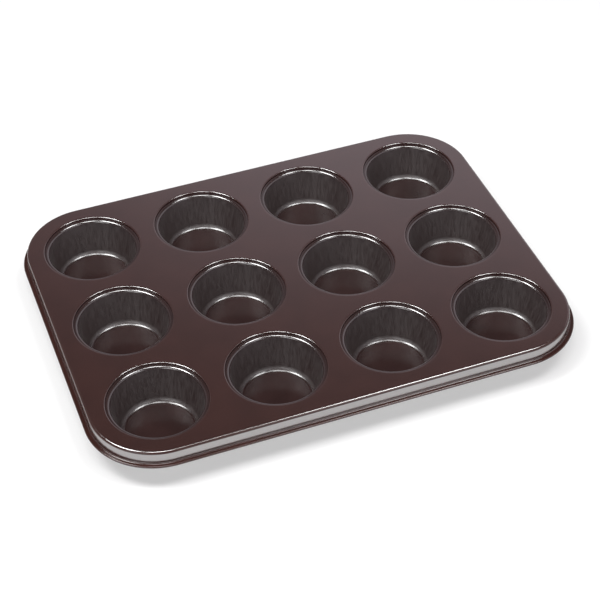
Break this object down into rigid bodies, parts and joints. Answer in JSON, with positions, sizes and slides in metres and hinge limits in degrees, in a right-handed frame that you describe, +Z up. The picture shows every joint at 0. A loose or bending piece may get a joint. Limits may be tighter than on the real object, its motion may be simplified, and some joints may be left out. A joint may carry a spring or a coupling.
{
  "type": "muffin tin",
  "caption": "Rectangular non-stick steel muffin tin: a grid of round tapered cups seamed into one top plate with a turned-down skirt and a rolled rim.",
  "frame": {"origin": "on the surface that the tin stands on, under the middle of the grid of cups", "axes": "+X along the rows of four cups, +Y from the front row to the back row, +Z up out of the cups"},
  "size_m": [0.35, 0.265, 0.0282],
  "materials": {
    "plate_coating": "satin dark brown non-stick coating on pressed steel sheet",
    "cup_coating": "satin dark brown non-stick coating on drawn steel sheet"
  },
  "bodies": {
    "root": {"top_plate": "plate_coating", "cup_front_1": "cup_coating", "cup_front_2": "cup_coating", "cup_front_3": "cup_coating", "cup_front_4": "cup_coating", "cup_middle_1": "cup_coating", "cup_middle_2": "cup_coating", "cup_middle_3": "cup_coating", "cup_middle_4": "cup_coating", "cup_back_1": "cup_coating", "cup_back_2": "cup_coating", "cup_back_3": "cup_coating", "cup_back_4": "cup_coating"}
  },
  "joints": []
}
